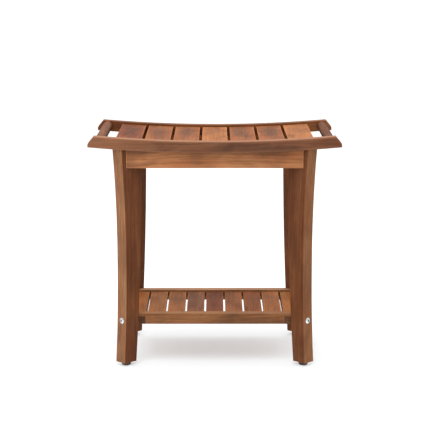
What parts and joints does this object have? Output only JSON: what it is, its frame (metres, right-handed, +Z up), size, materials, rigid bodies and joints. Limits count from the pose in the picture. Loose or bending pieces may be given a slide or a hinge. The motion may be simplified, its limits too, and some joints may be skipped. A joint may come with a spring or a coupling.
{
  "type": "shower stool",
  "caption": "Wooden shower stool with a sagging slatted seat between curved rails, round end grips, flared legs set at 45 degrees, a slatted lower shelf and levelling feet.",
  "frame": {"origin": "on the floor under the middle of the stool", "axes": "+X along the seat towards its right-hand grip, +Y from the front of the stool to the back, +Z up"},
  "size_m": [0.5, 0.3, 0.4683],
  "materials": {
    "frame_wood": "oiled",
    "slat_wood": "oiled",
    "dowel_wood": "raw",
    "steel": "satin",
    "rubber": "matt"
  },
  "bodies": {
    "stool": {"seat_rail_front": "frame_wood", "seat_rail_back": "frame_wood", "seat_slat_1": "slat_wood", "seat_slat_2": "slat_wood", "seat_slat_3": "slat_wood", "seat_slat_4": "slat_wood", "seat_slat_5": "slat_wood", "seat_slat_6": "slat_wood", "seat_slat_7": "slat_wood", "handle_left": "slat_wood", "handle_right": "slat_wood", "apron_front": "frame_wood", "apron_back": "frame_wood", "apron_left": "frame_wood", "apron_right": "frame_wood", "leg_front_left": "frame_wood", "leg_front_right": "frame_wood", "leg_back_left": "frame_wood", "leg_back_right": "frame_wood", "corner_brace_front_left": "frame_wood", "corner_brace_front_right": "frame_wood", "corner_brace_back_left": "frame_wood", "corner_brace_back_right": "frame_wood", "shelf_rail_front": "frame_wood", "shelf_rail_back": "frame_wood", "shelf_rail_left": "frame_wood", "shelf_rail_right": "frame_wood", "shelf_slat_1": "slat_wood", "shelf_slat_2": "slat_wood", "shelf_slat_3": "slat_wood", "shelf_slat_4": "slat_wood", "shelf_slat_5": "slat_wood", "shelf_slat_6": "slat_wood", "shelf_slat_7": "slat_wood", "shelf_block_front_left": "frame_wood", "shelf_block_front_right": "frame_wood", "shelf_block_back_left": "frame_wood", "shelf_block_back_right": "frame_wood", "apron_dowels": "dowel_wood", "shelf_dowels": "dowel_wood", "seat_screws": "steel", "hanger_bolts": "steel", "hanger_washers": "steel", "hanger_nuts": "steel", "shelf_bolts": "steel", "barrel_nuts": "steel", "foot_inserts": "steel"},
    "foot_front_left": {"foot_pad_front_left": "rubber", "foot_stem_front_left": "steel"},
    "foot_front_right": {"foot_pad_front_right": "rubber", "foot_stem_front_right": "steel"},
    "foot_back_left": {"foot_pad_back_left": "rubber", "foot_stem_back_left": "steel"},
    "foot_back_right": {"foot_pad_back_right": "rubber", "foot_stem_back_right": "steel"}
  },
  "joints": [
    {"name": "foot_front_left_height", "type": "slide", "parent": "stool", "child": "foot_front_left", "axis": [0, 0, -1], "range_m": [0, 0.008]},
    {"name": "foot_front_right_height", "type": "slide", "parent": "stool", "child": "foot_front_right", "axis": [0, 0, -1], "range_m": [0, 0.008]},
    {"name": "foot_back_left_height", "type": "slide", "parent": "stool", "child": "foot_back_left", "axis": [0, 0, -1], "range_m": [0, 0.008]},
    {"name": "foot_back_right_height", "type": "slide", "parent": "stool", "child": "foot_back_right", "axis": [0, 0, -1], "range_m": [0, 0.008]}
  ]
}
